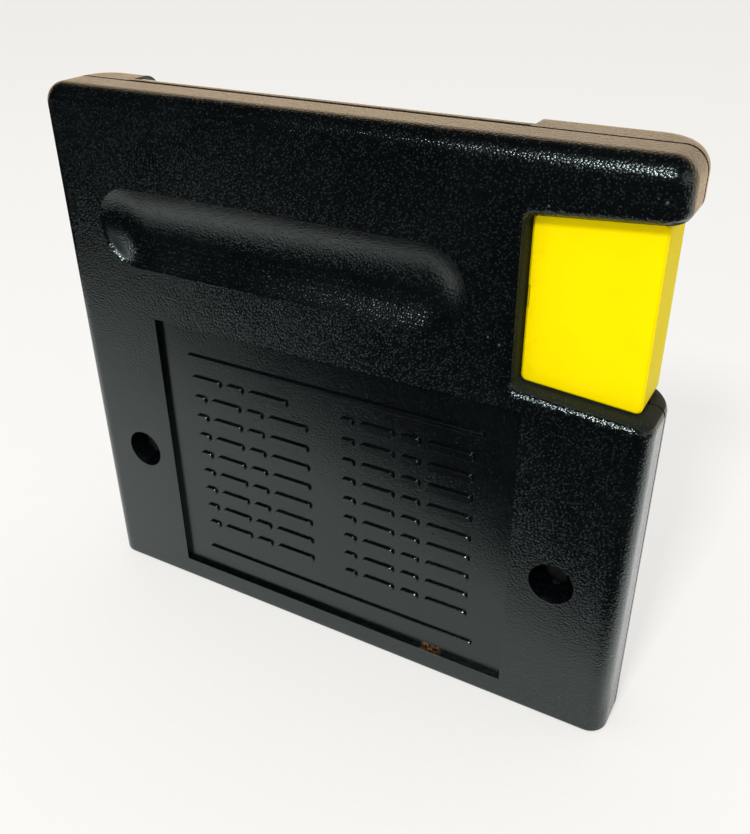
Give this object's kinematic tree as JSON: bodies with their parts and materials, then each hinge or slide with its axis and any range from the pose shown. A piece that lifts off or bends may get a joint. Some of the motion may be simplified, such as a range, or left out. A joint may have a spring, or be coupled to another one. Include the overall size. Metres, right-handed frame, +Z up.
{
  "type": "game cartridge",
  "caption": "Tall slab game cartridge in two black moulded halves with a finger scoop, sunk rear panel, side tab, wrap-over label and an edge-connector board inside.",
  "frame": {"origin": "middle of the slot edge's underside, on the surface that the cartridge stands on", "axes": "+X along the width towards the tab, +Y from the plain rear face towards the label, +Z up"},
  "size_m": [0.108, 0.0158, 0.0984],
  "materials": {
    "case_plastic": "fine spark-eroded grain",
    "tab_plastic": "smooth satin",
    "label_paper": "coated paper",
    "board_laminate": "green solder mask",
    "contact_plating": "plated",
    "package_plastic": "moulded",
    "lead_metal": "tinned",
    "capacitor_ceramic": "fired ceramic",
    "reservoir_resin": "moulded resin",
    "screw_steel": "dark plated steel"
  },
  "bodies": {
    "root": {"rear_case": "case_plastic", "front_case": "case_plastic", "side_tab": "tab_plastic", "front_label": "label_paper", "circuit_board": "board_laminate", "rear_contacts": "contact_plating", "front_contacts": "contact_plating", "memory_package": "package_plastic", "memory_leads": "lead_metal", "ceramic_capacitors": "capacitor_ceramic", "reservoir_capacitor": "reservoir_resin", "case_screws": "screw_steel"}
  },
  "joints": []
}
